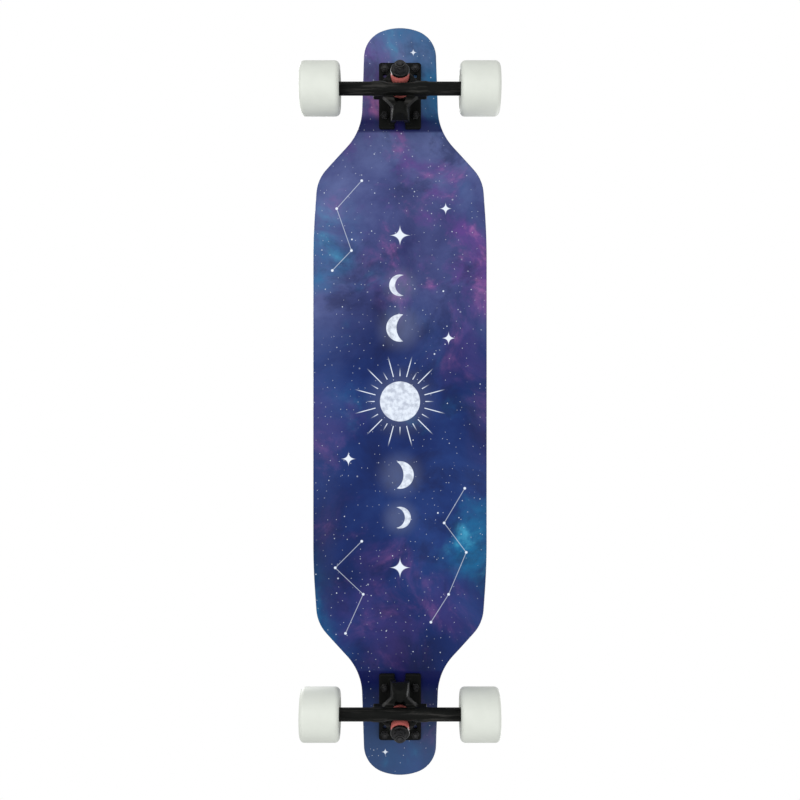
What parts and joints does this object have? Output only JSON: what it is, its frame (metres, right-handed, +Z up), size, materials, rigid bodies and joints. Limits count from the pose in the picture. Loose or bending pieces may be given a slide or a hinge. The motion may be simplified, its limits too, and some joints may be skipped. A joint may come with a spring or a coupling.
{
  "type": "longboard skateboard",
  "caption": "Longboard with a necked maple deck, gripped top, reverse-kingpin trucks that steer on urethane bushings, and wide soft wheels that spin on sealed bearings.",
  "frame": {"origin": "middle of the board on the floor, under the centre of the deck", "axes": "+X along the board towards the nose, +Y towards the left rail, +Z up; the wheels stand on z = 0"},
  "size_m": [1.016, 0.257, 0.1239],
  "materials": {
    "maple_ply": "printed and clear-coated underside",
    "grip_tape": "gritted",
    "black_casting": "satin black powder coat",
    "coral_urethane": "smooth",
    "white_urethane": "satin",
    "black_steel": "black oxide",
    "zinc_steel": "zinc plated",
    "bearing_steel": "ground"
  },
  "bodies": {
    "board": {"deck": "maple_ply", "grip_tape": "grip_tape", "front_baseplate": "black_casting", "front_pivot_cup": "coral_urethane", "front_kingpin": "black_steel", "front_kingpin_nut": "black_steel", "front_boardside_bushing": "coral_urethane", "front_roadside_bushing": "coral_urethane", "front_boardside_washer": "black_steel", "front_roadside_washer": "black_steel", "front_mounting_bolts": "black_steel", "front_mounting_nuts": "black_steel", "rear_baseplate": "black_casting", "rear_pivot_cup": "coral_urethane", "rear_kingpin": "black_steel", "rear_kingpin_nut": "black_steel", "rear_boardside_bushing": "coral_urethane", "rear_roadside_bushing": "coral_urethane", "rear_boardside_washer": "black_steel", "rear_roadside_washer": "black_steel", "rear_mounting_bolts": "black_steel", "rear_mounting_nuts": "black_steel"},
    "front_truck": {"front_hanger": "black_casting", "front_axle": "zinc_steel", "front_axle_nuts": "zinc_steel", "front_speed_washers": "zinc_steel", "front_bearing_spacers": "zinc_steel", "front_bearing_inner_rings": "bearing_steel"},
    "front_left_wheel": {"front_left_tyre": "white_urethane", "front_left_bearing_outer_rings": "bearing_steel"},
    "front_right_wheel": {"front_right_tyre": "white_urethane", "front_right_bearing_outer_rings": "bearing_steel"},
    "rear_truck": {"rear_hanger": "black_casting", "rear_axle": "zinc_steel", "rear_axle_nuts": "zinc_steel", "rear_speed_washers": "zinc_steel", "rear_bearing_spacers": "zinc_steel", "rear_bearing_inner_rings": "bearing_steel"},
    "rear_left_wheel": {"rear_left_tyre": "white_urethane", "rear_left_bearing_outer_rings": "bearing_steel"},
    "rear_right_wheel": {"rear_right_tyre": "white_urethane", "rear_right_bearing_outer_rings": "bearing_steel"}
  },
  "joints": [
    {"name": "front_truck_steer", "type": "hinge", "parent": "board", "child": "front_truck", "pos_m": [0.41849, 0, 0.05301], "axis": [0.8829, 0, 0.4695], "range_deg": [-12, 12], "stiffness_Nm_per_rad": 30, "deforming": ["front_boardside_bushing", "front_roadside_bushing"]},
    {"name": "front_left_wheel_spin", "type": "hinge", "parent": "front_truck", "child": "front_left_wheel", "pos_m": [0.404, 0.103, 0.035], "axis": [0, 1, 0], "continuous": true},
    {"name": "front_right_wheel_spin", "type": "hinge", "parent": "front_truck", "child": "front_right_wheel", "pos_m": [0.404, -0.103, 0.035], "axis": [0, 1, 0], "continuous": true},
    {"name": "rear_truck_steer", "type": "hinge", "parent": "board", "child": "rear_truck", "pos_m": [-0.41849, 0, 0.05301], "axis": [-0.8829, 0, 0.4695], "range_deg": [-12, 12], "stiffness_Nm_per_rad": 30, "deforming": ["rear_boardside_bushing", "rear_roadside_bushing"]},
    {"name": "rear_left_wheel_spin", "type": "hinge", "parent": "rear_truck", "child": "rear_left_wheel", "pos_m": [-0.404, 0.103, 0.035], "axis": [0, 1, 0], "continuous": true},
    {"name": "rear_right_wheel_spin", "type": "hinge", "parent": "rear_truck", "child": "rear_right_wheel", "pos_m": [-0.404, -0.103, 0.035], "axis": [0, 1, 0], "continuous": true}
  ]
}
